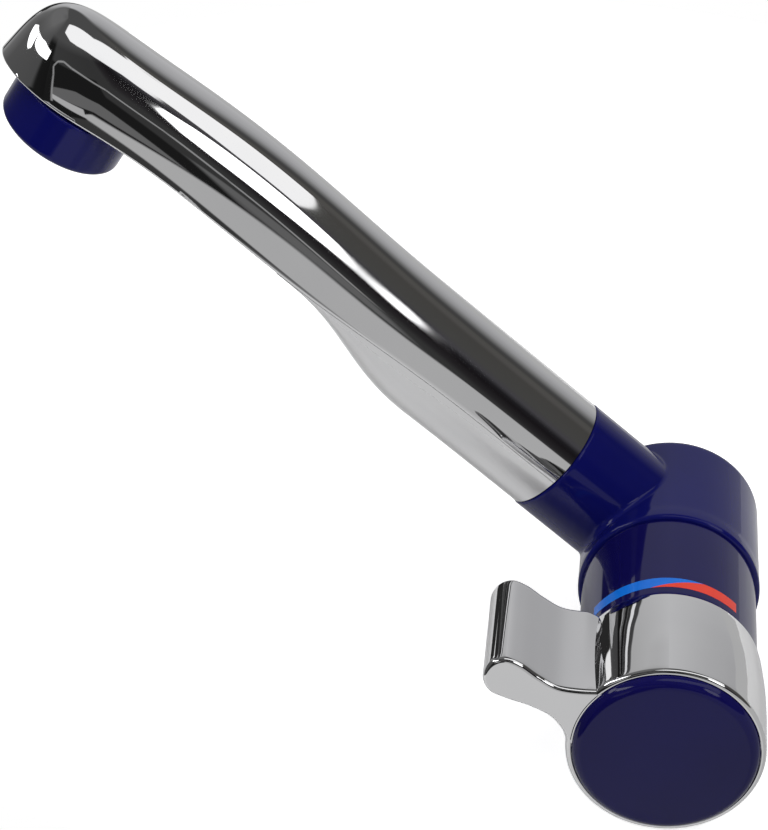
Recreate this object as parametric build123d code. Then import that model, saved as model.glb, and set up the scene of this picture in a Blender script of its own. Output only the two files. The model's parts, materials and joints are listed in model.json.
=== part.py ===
from build123d import *
from math import cos, radians, sin, sqrt, tan
import os

# Mixer tap with a level body: it is fixed by its back face, its spout swings
# in the plane of that face, and a lever ring round the front turns and pulls.
# Origin: middle of the back face. +Z is up, the front points to -Y.

# Clearances
seat = 0.05
running = 0.08
free_gap = 0.3

# Blue sleeve, whose radius the other round pieces follow, and its two marks
sleeve_radius = 21.95
sleeve_wall = 4.35
sleeve_round = 0.4
sleeve_step = 1.35
sleeve_neck_length = 15.0
sleeve_neck_wall = 0.95
mark_depth = 0.2
mark_proud = 0.04
mark_width = 3.8
mark_to_sleeve_end = 2.9
mark_split = 0.1
cold_end_angle = 57.0
hot_end_angle = 46.5
split_front_angle = 13.0
split_back_angle = 21.0

# Brass body: flange at the wall, journal for the collar, neck for the nut
flange_radius = sleeve_radius - 2.95
flange_thick = 3.3
flange_round = 0.6
journal_radius = sleeve_radius - sleeve_wall
body_length = 87.0
body_past_sleeve = 14.0
neck_radius = journal_radius - 1.0
neck_length = 10.0
gasket_outer = flange_radius - 0.8
gasket_width = 2.8
gasket_thick = 1.6
water_groove_deep = 3.1
water_groove_half = 5.0

# Swivelling collar and its stub
collar_length = 37.0
collar_radius = sleeve_radius + 0.95
collar_lip_radius = collar_radius + 0.3
collar_flare = 6.5
collar_lip = 2.5
collar_bore = journal_radius + 1.4
collar_round = 3.0
lip_round = 1.1
stub_radius = 16.0
stub_length = 40.7
stub_round = 0.5
saddle_round = 2.0
stub_bore = 12.3
stub_from_collar_back = 16.15
slip_ring_width = 2.6
collar_cord = 1.3
rear_seal_place = 5.9
front_seal_place = 10.7

# Screw in the collar and the arc groove of the body that it runs in
stop_screw_radius = 1.4
stop_screw_from_front = 5.9
stop_groove_deep = 2.0
stop_groove_slack = 2.0
screw_half_angle = 5.2

# Lever ring with its side lug
ring_gap = 0.5
ring_length = 32.8
ring_back_radius = sleeve_radius + 0.75
ring_wide_radius = ring_back_radius + 1.05
ring_wide_share = 0.4
ring_front_radius = ring_back_radius + 0.9
ring_rim = 1.0
ring_round = 0.5
web_thick = 4.0
hub_radius = 7.5
lug_length = 20.7
lug_height = 24.6
lug_foot = -1.0

# Blue end cap
cap_gap = 0.4
cap_radius = ring_front_radius - ring_rim - cap_gap
cap_thick = 2.6
cap_dome = 2.8
cap_round = 0.9
skirt_radius = cap_radius - 2.0
skirt_wall = 1.9
skirt_depth = 2.7

# Valve cartridge of the pull and turn kind
shell_radius = neck_radius - 2.65
shell_sunk = 34.8
shell_floor = 2.0
shell_flange_radius = shell_radius + 1.55
shell_flange = 3.15
shell_seal_cord = 0.6
shell_seal_places = [6.0, 26.0]
port_spacing = 12.0
port_level = -1.0
outlet_port_level = 6.0
port_radius = 2.7
port_seal_cord = 0.38
chamber_radius = shell_radius - 4.95
spool_lift = 0.4
spool_cord = 0.9
spool_seal_back = 7.5
spool_seal_front = 3.5
spool_passage = 5.0
passage_inset = 2.0
passage_rise = 3.2
passage_start = 1.5
bush_radius = shell_radius - 1.95
bush_length = 5.9
bush_proud = 0.35
bush_recess_radius = 6.2
bush_recess = 2.0
stem_radius = 4.5
stem_flat = 3.4
pull_travel = 8.0
turn_range = 100.0

# Stop ring of the cartridge, with a tab that runs in the nut's recess
stop_radius = neck_radius - 5.9
stop_thick = 2.5
tab_length = 2.5
tab_half_angle = 9.0
tab_rest_angle = 155.0
tab_slack = 1.5
clip_thick = 0.8
clip_opening = 5.0
notch_count = 6
notch_size = 4.0

# Screws of the lever and of the spout
lever_screw_radius = 2.0
lever_screw_length = 10.5
lever_screw_head = 3.6
lever_screw_head_thick = 2.6
spout_screw_radius = 2.0
spout_screw_place = 34.5
spout_screw_bite = 1.4
shell_screw_radius = 1.5
shell_screw_head = 2.6
shell_screw_tip = 8.6

# Spout: arm and head
spout_rest_angle = 48.5
spout_radius = 15.8
shell_wall = 1.5
arm_start = stub_length + free_gap
outlet_reach = 190.9
head_start = outlet_reach - 1.9
spout_tip = outlet_reach + 21.9
crown_rise = 1.5
crown_rise_start = 97.0
crown_rise_end = 138.0
crown_fall = 3.6
crown_fall_start = outlet_reach - 40.9
crown_fall_end = outlet_reach + 11.1
lip_root = 1.0
lip_drop = 2.9
lip_drop_start = 70.0
lip_drop_end = 130.0
lip_bend = outlet_reach - 17.9
lip_bend_half = 10.0
belly_start = 80.0
belly_end = 130.0
plate_start = 112.0
plate_thick = 1.5
plate_sunk = 0.5

# Outlet with its aerator
outlet_tilt = 9.4
outlet_radius = 15.8
outlet_height = 12.5
outlet_round = 1.6
outlet_back_round = 0.5
outlet_gap = 0.6
outlet_bore = 12.2
outlet_bore_depth = 8.5
outlet_neck_radius = 11.5
washer_thick = 1.2
insert_radius = 9.0
screen_radius = 9.4
screen_thick = 1.0
screen_hole = 0.55
insert_sunk = 0.9

# Water tube inside the spout
spigot_radius = 7.9
spigot_wall = 1.9
block_height = 13.6
waterway_level = 6.2
waterway_radius = 4.6
waterway_bore = 3.2
plug_start = 23.0
plug_cord = 0.9
carrier_length = 9.8

# Swing of the spout from its place in the photograph
swing_down = 42.0
swing_up = 48.0

# Wall fixing and supply
panel_thick = 10.0
tail_spacing = 13.6
tail_level = -1.0
tail_radius = 5.0
tail_bore = 3.3
tail_reach = 20.0
tail_sunk = 6.8
tail_spigot_radius = 4.7
tail_cord = 0.8
tail_clear = 1.0
stud_level = 5.2 - journal_radius
stud_radius = 3.0
stud_reach = 21.0
stud_sunk = 12.0
clamp_radius = 17.0
clamp_thick = 3.0
clamp_drop = 3.0
clamp_top = 2.0
nut_flats = 10.0
nut_thick = 5.0

# Depths along the body, counted from the back face towards the user
collar_back = flange_thick + free_gap
collar_front = collar_back + collar_length
stub_depth = collar_back + stub_from_collar_back
sleeve_back = collar_front + free_gap
sleeve_front = body_length - body_past_sleeve
sleeve_neck_radius = sleeve_radius - sleeve_step
neck_back = body_length - neck_length
ring_back = sleeve_front + ring_gap
ring_front = ring_back + ring_length
shell_front = body_length + shell_flange
cap_back = ring_front - cap_thick
web_front = cap_back - skirt_depth - free_gap
web_back = web_front - web_thick
shell_floor_depth = body_length - shell_sunk
chamber_floor = shell_floor_depth + shell_floor
bush_front = shell_front + bush_proud
bush_back = bush_front - bush_length
spool_back = chamber_floor + spool_lift
spool_front = bush_back - pull_travel - free_gap
stop_back = bush_front + free_gap
clip_back = stop_back + stop_thick + 0.25
nut_back = neck_back + 2.0
nut_front = stop_back + stop_thick + clip_thick + 2 * free_gap + 0.6
hub_back = nut_front + 2 * free_gap
stem_end = web_front - 1.6
flats_start = nut_front - 4.0 - pull_travel - 1.5
collar_seal_depths = [collar_back + rear_seal_place, collar_front - front_seal_place]
shell_seal_depths = [shell_floor_depth + place for place in shell_seal_places]
spool_seal_depths = [spool_back + spool_seal_back, spool_front - spool_seal_front]
stop_screw_depth = collar_front - stop_screw_from_front
stop_groove_floor = journal_radius - stop_groove_deep
mark_front = sleeve_front - mark_to_sleeve_end
mark_back = mark_front - mark_width

# Places along the spout, counted from the body's axis, and across the ports
tip_length = spout_tip - head_start
shell_screw_place = arm_start + 5.5
plug_seal_places = [26.5, 30.0]
tail_spots = [(-tail_spacing / 2, tail_level), (tail_spacing / 2, tail_level)]
port_spots = [(-port_spacing / 2, port_level), (port_spacing / 2, port_level)]
outlet_spot = (0.0, outlet_port_level)
stop_angle = 270 + spout_rest_angle
tilt = radians(outlet_tilt)

# Frames: the body's third axis points to the user, the spout's along the arm
swing = radians(spout_rest_angle)
body_place = Rotation(90, 0, 0)
spout_place = Plane(
    origin=(0, -stub_depth, 0), x_dir=(0, -1, 0), z_dir=(-sin(swing), 0, cos(swing))
).location


def turned(*outline):
    """Solid of revolution about the third axis, from (radius, height) points."""
    face = make_face(Plane.XZ * Polyline(*outline, close=True))
    return revolve(face, axis=Axis.Z)


def rod(radius, start, end, x=0.0, y=0.0):
    """Cylinder along the third axis."""
    return Pos(x, y, start) * extrude(Circle(radius), end - start)


def hoop(inner, outer, start, end):
    """Plain ring along the third axis."""
    return turned((inner, start), (outer, start), (outer, end), (inner, end))


def cord_ring(centre_radius, cord, height, x=0.0, y=0.0):
    """O-ring lying square to the third axis."""
    return Pos(x, y, height) * Torus(centre_radius, cord)


def across(radius, start, end, angle, height):
    """Cylinder square to the third axis, at an angle from +X."""
    return Pos(0, 0, height) * Rotation(0, 0, angle) * Rotation(0, 90, 0) * rod(radius, start, end)


def rounded(solid, radius, height, length):
    """Rounds the circular edges of one radius at one height."""
    edges = [
        edge
        for edge in solid.edges().filter_by(GeomType.CIRCLE)
        if abs(edge.center().Z - height) < 0.01 and abs(edge.radius - radius) < 0.01
    ]
    return fillet(edges, length)


def grouped(place, solids):
    """One piece of several equal solids, each moved to its place."""
    return Compound(children=[place * solid for solid in solids])


def sector(angle, start, end):
    """Wedge about the third axis, from +X over an angle."""
    face = Face(
        Wire(
            [
                Line((0, 0), (30, 0)),
                CenterArc((0, 0), 30, 0, angle),
                Line(Vector(30, 0).rotate(Axis.Z, angle), (0, 0)),
            ]
        )
    )
    return Pos(0, 0, start) * extrude(face, end - start)


def hexagon(half_flats, start, length):
    """Six-sided bar along the third axis."""
    face = RegularPolygon(half_flats, 6, major_radius=False)
    return Pos(0, 0, start) * extrude(face, length)


def ease(value, start, end):
    """Smooth step from 0 at start to 1 at end."""
    share = min(max((value - start) / (end - start), 0.0), 1.0)
    return share * share * (3 - 2 * share)


# Body, fixing and supply


def stop_groove():
    """Arc groove that the collar's stop screw runs in."""
    half = stop_screw_radius + 0.2
    start = stop_screw_depth - half
    end = stop_screw_depth + half
    margin = screw_half_angle + stop_groove_slack
    wedge = sector(swing_down + swing_up + 2 * margin, start, end)
    wedge = Rotation(0, 0, stop_angle - swing_up - margin) * wedge
    return wedge & hoop(stop_groove_floor, journal_radius + 1, start, end)


def body_core():
    body = turned(
        (0, 0),
        (flange_radius, 0),
        (flange_radius, flange_thick),
        (journal_radius, flange_thick),
        (journal_radius, neck_back),
        (neck_radius, neck_back),
        (neck_radius, body_length),
        (0, body_length),
    )
    body = rounded(body, flange_radius, flange_thick, flange_round)
    body -= rod(shell_radius + seat, shell_floor_depth - seat, body_length + 1)
    body -= hoop(gasket_outer - gasket_width, gasket_outer, -1, gasket_thick)
    groove = 1.15 * collar_cord
    for depth in collar_seal_depths:
        floor = collar_bore - running - 2 * collar_cord - 0.2
        body -= hoop(floor, journal_radius + 1, depth - groove, depth + groove)
    floor = journal_radius - water_groove_deep
    start = stub_depth - water_groove_half
    body -= hoop(floor, journal_radius + 1, start, stub_depth + water_groove_half)
    body -= stop_groove()
    for x, y in port_spots:
        body -= rod(port_radius, tail_sunk - 0.8, shell_floor_depth, x, y)
    for x, y in tail_spots:
        body -= rod(tail_spigot_radius + seat, -1, tail_sunk + 0.2, x, y)
        body -= rod(tail_spigot_radius + 2 * tail_cord + 0.1, -1, 2 * tail_cord + 0.1, x, y)
    body -= rod(port_radius, stub_depth, shell_floor_depth, *outlet_spot)
    body -= across(port_radius, outlet_spot[1], journal_radius, 90, stub_depth)
    body -= rod(stud_radius + seat, -1, stud_sunk + 0.5, 0, stud_level)
    return body


def clamp_plate():
    """Horseshoe washer behind the panel, open at the top for the two tails."""
    outer = Pos(0, tail_level - clamp_drop) * Circle(clamp_radius)
    slot_half = tail_spacing / 2 + tail_radius + tail_clear
    slot_floor = tail_level - tail_radius - tail_clear
    slot = Pos(0, slot_floor + clamp_radius) * Rectangle(2 * slot_half, 2 * clamp_radius)
    trim = Pos(0, clamp_top + clamp_radius) * Rectangle(4 * clamp_radius, 2 * clamp_radius)
    hole = Pos(0, stud_level) * Circle(stud_radius + 0.2)
    face = outer - slot - trim - hole
    return Pos(0, 0, -panel_thick - clamp_thick) * extrude(face, clamp_thick)


def clamp_nut():
    face = RegularPolygon(nut_flats / 2, 6, major_radius=False) - Circle(stud_radius + seat)
    start = -panel_thick - clamp_thick - nut_thick
    return Pos(0, stud_level, start) * extrude(face, nut_thick)


def fixing_stud():
    stud = rod(stud_radius, -stud_reach, stud_sunk, 0, stud_level)
    return chamfer(stud.edges().filter_by(GeomType.CIRCLE), 0.5)


def inlet_tail(x):
    tail = rod(tail_radius, -tail_reach, 0, x, tail_level)
    tail = chamfer(tail.edges().filter_by(GeomType.CIRCLE).sort_by(Axis.Z)[0], 0.6)
    tail += rod(tail_spigot_radius, -1, tail_sunk, x, tail_level)
    return tail - rod(tail_bore, -tail_reach - 1, tail_sunk + 1, x, tail_level)


def tail_seals():
    """Seals in the recesses of the back face, one round each tail."""
    inner = tail_spigot_radius + 0.1
    outer = tail_spigot_radius + 2 * tail_cord
    return [Pos(x, y) * hoop(inner, outer, 0.1, 2 * tail_cord) for x, y in tail_spots]


def collar_seal(depth):
    return cord_ring(collar_bore - running - collar_cord, collar_cord, depth)


def slip_ring(depth):
    return hoop(journal_radius + seat, collar_bore - running, depth, depth + slip_ring_width)


# Cartridge

def cartridge_shell():
    shell = turned(
        (0, shell_floor_depth),
        (shell_radius, shell_floor_depth),
        (shell_radius, body_length),
        (shell_flange_radius, body_length),
        (shell_flange_radius, shell_front),
        (bush_radius + seat, shell_front),
        (bush_radius + seat, bush_back - seat),
        (chamber_radius + seat, bush_back - seat),
        (chamber_radius + seat, chamber_floor),
        (0, chamber_floor),
    )
    for depth in shell_seal_depths:
        floor = shell_radius - 2 * shell_seal_cord - 0.02
        shell -= hoop(floor, shell_radius + 1, depth - 1.0, depth + 1.0)
    for x, y in port_spots + [outlet_spot]:
        shell -= rod(port_radius, shell_floor_depth - 1, chamber_floor + 0.01, x, y)
        recess = port_radius + 2 * port_seal_cord + 0.09
        shell -= rod(recess, shell_floor_depth - 1, shell_floor_depth + 0.8, x, y)
    return shell


def shell_seals():
    centre = shell_radius - shell_seal_cord
    return [cord_ring(centre, shell_seal_cord, depth) for depth in shell_seal_depths]


def port_seals():
    centre = port_radius + port_seal_cord + 0.04
    depth = shell_floor_depth + 0.4
    spots = port_spots + [outlet_spot]
    return [cord_ring(centre, port_seal_cord, depth, x, y) for x, y in spots]


def guide_bush():
    bush = hoop(stem_radius + running, bush_radius, bush_back, bush_front)
    return bush - rod(bush_recess_radius, bush_back - 1, bush_back + bush_recess)


def cartridge_nut():
    outer = sleeve_neck_radius - sleeve_neck_wall - seat
    nut = turned(
        (neck_radius + seat, nut_back),
        (outer, nut_back),
        (outer, nut_front),
        (stop_radius + free_gap, nut_front),
        (stop_radius + free_gap, bush_front + seat),
        (neck_radius + seat, bush_front + seat),
    )
    clip_reach = stop_radius + 1.0
    nut -= hoop(stop_radius, clip_reach, clip_back - seat, clip_back + clip_thick + seat)
    margin = tab_half_angle + tab_slack
    wedge = sector(turn_range + 2 * margin, bush_front, stop_back + stop_thick + 0.1)
    wedge = Rotation(0, 0, tab_rest_angle - turn_range - margin) * wedge
    nut -= wedge & rod(stop_radius + tab_length + free_gap, bush_front, nut_front)
    for step in range(notch_count):
        notch = Rotation(0, 0, 360 / notch_count * step) * Pos(outer, 0, nut_front)
        nut -= notch * Box(notch_size, notch_size, notch_size)
    return nut


def keyed(radius, flat, start, end):
    """Round bar with two flats, as the stem has them."""
    face = Circle(radius) & Rectangle(2 * flat, 4 * radius)
    return Pos(0, 0, start) * extrude(face, end - start)


def stop_ring():
    """Turns with the stem; its tab meets the ends of the nut's recess."""
    disc = rod(stop_radius, stop_back, stop_back + stop_thick)
    reach = stop_radius + tab_length
    half = reach * tan(radians(tab_half_angle)) * 0.9
    tab = Rotation(0, 0, tab_rest_angle) * Pos(reach / 2, 0) * Rectangle(reach, 2 * half)
    disc += Pos(0, 0, stop_back) * extrude(tab & Circle(reach), stop_thick)
    return disc - keyed(stem_radius + 0.12, stem_flat + 0.1, stop_back - 1, nut_front)


def stop_ring_clip():
    clip = hoop(stop_radius - 1.4, stop_radius + 0.9, clip_back, clip_back + clip_thick)
    return clip - Pos(0, -stop_radius, clip_back) * Box(clip_opening, 8, 4)


def valve_spool():
    spool = rod(chamber_radius, spool_back, spool_front)
    for depth in spool_seal_depths:
        floor = chamber_radius - 2 * spool_cord - 0.05
        spool -= hoop(floor, chamber_radius + 1, depth - 1.0, depth + 1.0)
    passage = Box(2 * (chamber_radius - passage_inset), spool_passage, spool_passage)
    spool -= Pos(0, port_level + passage_rise, spool_back + passage_start) * passage
    spool += rod(stem_radius, spool_front, flats_start)
    spool += keyed(stem_radius, stem_flat, flats_start, stem_end)
    return spool - rod(lever_screw_radius + seat, stem_end - lever_screw_length - 0.5, stem_end + 1)


def spool_seals():
    centre = chamber_radius - spool_cord
    return [cord_ring(centre, spool_cord, depth) for depth in spool_seal_depths]


# Lever ring, hub and cap

def lug_point(share, level):
    """Point of the lug's outline, by its share of the lug's length and height."""
    return (-ring_back_radius - share * lug_length, level * lug_height)


def lug_profile():
    """Section of the side lug: a thumb wing that curves up to a round tip."""
    root = ring_front_radius - 2.0
    top_root = (-0.7 * root, 0.675 * lug_height)
    low_root = (0.4 - ring_back_radius, lug_foot)
    crest = lug_point(0.748, 1.0)
    heel = lug_point(0.748, 0.528)
    top = Spline(
        top_root,
        lug_point(-0.09, 0.671),
        lug_point(0.161, 0.703),
        lug_point(0.371, 0.813),
        lug_point(0.581, 0.947),
        crest,
    )
    tip = Spline(
        crest,
        lug_point(0.906, 0.943),
        lug_point(1.0, 0.772),
        lug_point(0.927, 0.61),
        heel,
        tangents=[top % 1, (0.95, -0.25)],
    )
    low = Spline(
        heel,
        lug_point(0.455, 0.443),
        lug_point(0.224, 0.333),
        lug_point(0.098, 0.203),
        low_root,
        tangents=[(0.95, -0.25), (0.05, -1)],
    )
    inside = (-0.6 * root, lug_foot)
    inside_top = (-0.6 * root, top_root[1])
    closing = Polyline(low_root, inside, inside_top, top_root)
    return make_face(Wire([top, tip, low] + list(closing.edges())))


def lever_ring():
    middle = ring_back + ring_wide_share * ring_length
    outside = Spline(
        (ring_back_radius, ring_back), (ring_wide_radius, middle), (ring_front_radius, ring_front)
    )
    recess_radius = cap_radius + cap_gap
    closing = Polyline(
        (ring_front_radius, ring_front),
        (recess_radius, ring_front),
        (recess_radius, cap_back),
        (skirt_radius + seat, cap_back),
        (skirt_radius + seat, web_front),
        (hub_radius + seat, web_front),
        (hub_radius + seat, web_back),
        (sleeve_neck_radius + free_gap, web_back),
        (sleeve_neck_radius + free_gap, ring_back),
        (ring_back_radius, ring_back),
    )
    outline = make_face(Plane.XZ * Wire([outside] + list(closing.edges())))
    ring = revolve(outline, axis=Axis.Z)
    ring = rounded(ring, ring_front_radius, ring_front, ring_round)
    ring = rounded(ring, ring_back_radius, ring_back, ring_round)
    lug = Pos(0, 0, ring_back) * extrude(lug_profile(), ring_length)
    lug -= rod(recess_radius + seat, ring_back - 1, ring_front + 1)
    return ring + lug


def lever_hub():
    hub = rod(hub_radius, hub_back, web_front)
    hub = chamfer(hub.edges().filter_by(GeomType.CIRCLE).sort_by(Axis.Z)[0], 0.4)
    hub -= keyed(stem_radius + seat, stem_flat + seat, hub_back - 1, stem_end + 0.1)
    return hub - rod(lever_screw_radius + 0.15, stem_end - 1, web_front + 1)


def lever_screw():
    head = rod(lever_screw_head, web_front, web_front + lever_screw_head_thick)
    head -= hexagon(1.5, web_front + lever_screw_head_thick - 1.4, 2)
    return head + rod(lever_screw_radius, stem_end - lever_screw_length, web_front)


def lever_cap():
    dome_radius = (cap_radius**2 + cap_dome**2) / (2 * cap_dome)
    centre = ring_front + cap_dome - dome_radius
    body = rod(cap_radius, cap_back, ring_front + cap_dome + 1)
    body &= Pos(0, 0, centre) * Sphere(dome_radius)
    rim = [e for e in body.edges().filter_by(GeomType.CIRCLE) if e.center().Z > ring_front - 0.5]
    body = fillet(rim, cap_round)
    return body + hoop(skirt_radius - skirt_wall, skirt_radius, cap_back - skirt_depth, cap_back)


# Blue sleeve and its two marks


def around(angle):
    """Sideways place of a point on the sleeve, at an angle from the top."""
    return sleeve_radius * sin(radians(angle))


def mark_corners(end, side):
    """Corners of a mark, from its outer end to the slanting split at the top."""
    half_split = side * mark_split / 2
    split_back = around(split_back_angle) + half_split
    split_front = around(-split_front_angle) + half_split
    return [(end, mark_back), (split_back, mark_back), (split_front, mark_front), (end, mark_front)]


def mark_shape(corners, inner, outer):
    """Piece of a thin shell below a flat outline given in x and depth."""
    outline = make_face(Polyline(*[(x, -depth) for x, depth in corners], close=True))
    prism = Rotation(-90, 0, 0) * extrude(outline, outer + 1)
    return prism & hoop(inner, outer, sleeve_back, sleeve_front)


def mark(corners):
    return mark_shape(corners, sleeve_radius - mark_depth, sleeve_radius + mark_proud)


cold_corners = mark_corners(around(-cold_end_angle), -1)
hot_corners = mark_corners(around(hot_end_angle), 1)


def body_sleeve():
    sleeve = turned(
        (journal_radius + seat, sleeve_back),
        (sleeve_radius, sleeve_back),
        (sleeve_radius, sleeve_front),
        (sleeve_neck_radius, sleeve_front),
        (sleeve_neck_radius, sleeve_front + sleeve_neck_length),
        (sleeve_neck_radius - sleeve_neck_wall, sleeve_front + sleeve_neck_length),
        (sleeve_neck_radius - sleeve_neck_wall, nut_back - seat),
        (journal_radius + seat, nut_back - seat),
    )
    sleeve = rounded(sleeve, sleeve_radius, sleeve_front, sleeve_round)
    for corners in (cold_corners, hot_corners):
        sleeve -= mark_shape(corners, sleeve_radius - mark_depth, sleeve_radius + 1)
    return sleeve


# Spout


def spout_collar():
    ring = turned(
        (0, collar_back),
        (collar_radius, collar_back),
        (collar_radius, collar_front - collar_flare),
        (collar_lip_radius, collar_front - collar_lip),
        (collar_lip_radius, collar_front),
        (0, collar_front),
    )
    ring = rounded(ring, collar_radius, collar_back, collar_round)
    ring = rounded(ring, collar_lip_radius, collar_front, lip_round)
    stub = rod(stub_radius, 0, stub_length)
    stub = fillet(stub.edges().filter_by(GeomType.CIRCLE).sort_by(Axis.Z)[-1], stub_round)
    joined = body_place * ring + spout_place * stub
    joined = fillet(joined.edges().filter_by(GeomType.BSPLINE), saddle_round)
    joined -= body_place * rod(collar_bore, collar_back - 1, collar_front + 1)
    joined -= spout_place * rod(stub_bore, collar_bore - 5, stub_length + 1)
    hole = across(spout_screw_radius + seat, 0, stub_radius + 1, 270, spout_screw_place)
    joined -= spout_place * hole
    start = collar_bore - 1
    end = collar_lip_radius + 1
    hole = across(stop_screw_radius + seat, start, end, stop_angle, stop_screw_depth)
    return joined - body_place * hole


def stop_screw():
    """Headless screw in the collar; its end runs in the body's arc groove."""
    start = stop_groove_floor + 0.35
    end = collar_radius - 0.4
    screw = across(stop_screw_radius, start, end, stop_angle, stop_screw_depth)
    socket = Pos(0, 0, stop_screw_depth) * Rotation(0, 0, stop_angle) * Rotation(0, 90, 0)
    return screw - socket * hexagon(0.75, end - 1.8, 3)


def spout_screw():
    """Headless screw that keeps the spout's plug in the stub."""
    start = stub_bore - spout_screw_bite
    end = stub_radius - 0.5
    screw = across(spout_screw_radius, start, end, 270, spout_screw_place)
    socket = Pos(0, 0, spout_screw_place) * Rotation(0, 0, 270) * Rotation(0, 90, 0)
    return screw - socket * hexagon(1.0, end - 1.8, 3)


def lip_level(place):
    """Height of the spout's lower lip above its own axis."""
    bend_start = lip_bend - lip_bend_half
    bend_end = lip_bend + lip_bend_half
    bent = min(max(place - bend_start, 0.0), 2 * lip_bend_half)
    run = bent**2 / (4 * lip_bend_half) + max(place - bend_end, 0.0)
    return lip_root - lip_drop * ease(place, lip_drop_start, lip_drop_end) - tan(tilt) * run


def nose_share(place, inset):
    """Share of the rounded nose that lies behind a place."""
    return max(place - head_start, 0.0) / (tip_length - inset)


def half_width(place, inset):
    """Half the spout's width, drawn in to an ellipse round the head."""
    return (spout_radius - inset) * sqrt(1 - nose_share(place, inset) ** 2)


def crown_height(place, inset):
    """Height of the spout's top over its lip: it swells, falls and ends in a full nose."""
    rise = crown_rise * ease(place, crown_rise_start, crown_rise_end)
    fall = crown_fall * ease(place, crown_fall_start, crown_fall_end)
    full = spout_radius + rise - fall - inset - lip_level(place)
    return full * (1 - nose_share(place, inset) ** 4) ** 0.25


def spread(start, end, count):
    """Evenly spaced places."""
    return [start + (end - start) * step / (count - 1) for step in range(count)]


def nose_places(inset, angles):
    """Places along the nose, closer together towards the tip."""
    return [head_start + (tip_length - inset) * sin(radians(angle)) for angle in angles]


def half_oval(place, half, level, over, skirt):
    """Half ellipse on a level line, with a straight skirt past the line."""
    reach = 0.5523
    top = level + over
    shoulder = level + reach * over
    first = Bezier((half, level), (half, shoulder), (reach * half, top), (0, top))
    second = Bezier((0, top), (-reach * half, top), (-half, shoulder), (-half, level))
    if skirt == 0:
        rest = [Line((-half, level), (half, level))]
    else:
        foot = level - skirt
        corners = Polyline((-half, level), (-half, foot), (half, foot), (half, level))
        rest = list(corners.edges())
    return Pos(0, 0, place) * make_face(Wire([first, second] + rest))


def upper_section(place, inset, skirt):
    """Section of the upper shell, which stands on the lower lip."""
    over = crown_height(place, inset)
    return half_oval(place, half_width(place, inset), lip_level(place), over, skirt)


def spout_form(start, inset, skirt, angles):
    """Arm and head as one solid, from even sections and a rounded nose."""
    arm = loft([upper_section(place, inset, skirt) for place in spread(start, head_start, 24)])
    nose = loft([upper_section(place, inset, skirt) for place in nose_places(inset, angles)])
    return arm + nose


def spout_shell():
    """Chromed upper shell of arm and head, open underneath."""
    outer = spout_form(arm_start, 0, 0, [0, 8, 16, 24, 32, 40, 48, 56, 64, 72, 79, 84, 88])
    inner = spout_form(arm_start - 1, shell_wall, 3, [0, 8, 16, 24, 32, 40, 48, 56, 64, 72, 79, 84])
    return spout_place * (outer - inner)


def belly_depth(place):
    """Depth of the rounded underside, full at the root and gone past the middle."""
    full = spout_radius + lip_root
    return full - (full - 0.5) * ease(place, belly_start, belly_end + 3)


def lower_section(place, inset, skirt):
    """Section of the trough, which hangs from just under the lip."""
    depth = belly_depth(place) - inset
    half = spout_radius - 0.1 - inset
    return half_oval(place, half, lip_level(place) - 0.1, -depth, -skirt)


def plan_outline(inset):
    """Plan of the head: straight sides and an elliptical nose."""
    half = spout_radius - inset
    nose = EllipticalCenterArc((0, head_start), half, tip_length - inset, start_angle=0, arc_size=180)
    back = plate_start - 2
    sides = Polyline((-half, head_start), (-half, back), (half, back), (half, head_start))
    return make_face(Wire([nose] + list(sides.edges())))


def spout_underside():
    """Lower shell: a trough at the root that runs out into a flat plate."""
    belly = loft([lower_section(place, 0, 0) for place in spread(arm_start, belly_end, 16)])
    hollow = [lower_section(place, shell_wall, 3) for place in spread(arm_start - 1, 106, 12)]
    belly -= loft(hollow)
    plate_places = spread(plate_start, spout_tip, 18)
    low = [(lip_level(place) + plate_sunk, place) for place in plate_places]
    high = [(level + plate_thick, place) for level, place in reversed(low)]
    # The side outline lies in the plane of height and length
    side = Plane(origin=(0, 0, 0), x_dir=(0, 1, 0), z_dir=(1, 0, 0))
    band = extrude(side * make_face(Polyline(*(low + high), close=True)), 30, both=True)
    plan = Plane(origin=(0, 0, 0), x_dir=(1, 0, 0), z_dir=(0, -1, 0))
    inset = shell_wall + free_gap
    band &= extrude(plan * plan_outline(inset), 40, both=True)
    # The web ties the plate to the trough
    web = Box(2 * (spout_radius - inset) - 1, 2.2, 8)
    web = Pos(0, lip_level(plate_start + 4) + plate_sunk, plate_start + 5) * web
    whole = spout_place * (belly + band + web)
    whole -= outlet_place * rod(outlet_neck_radius + 0.1, -6, 2)
    cut = shell_screw_cut(shell_screw_radius + 0.1, shell_screw_head + 0.1)
    return whole - spout_place * cut


outlet_place = (
    spout_place
    * Plane(
        origin=(0, lip_level(outlet_reach), outlet_reach),
        x_dir=(1, 0, 0),
        z_dir=(0, -cos(tilt), -sin(tilt)),
    ).location
)


def shell_screw_cut(shank, head):
    """Hole and countersink for the screw under the root of the lower shell."""
    under = belly_depth(arm_start) - lip_root
    hole = across(shank, shell_screw_tip - 2, under + 1, 270, shell_screw_place)
    return hole + across(head, under - 0.4, under + 2, 270, shell_screw_place)


def shell_screw():
    """Screw that holds the lower shell on the carrier of the waterway."""
    under = belly_depth(arm_start) - lip_root
    shank = across(shell_screw_radius, shell_screw_tip, under, 270, shell_screw_place)
    head = across(shell_screw_head, under - 0.35, under + 0.1, 270, shell_screw_place)
    return spout_place * (shank + head)


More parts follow.
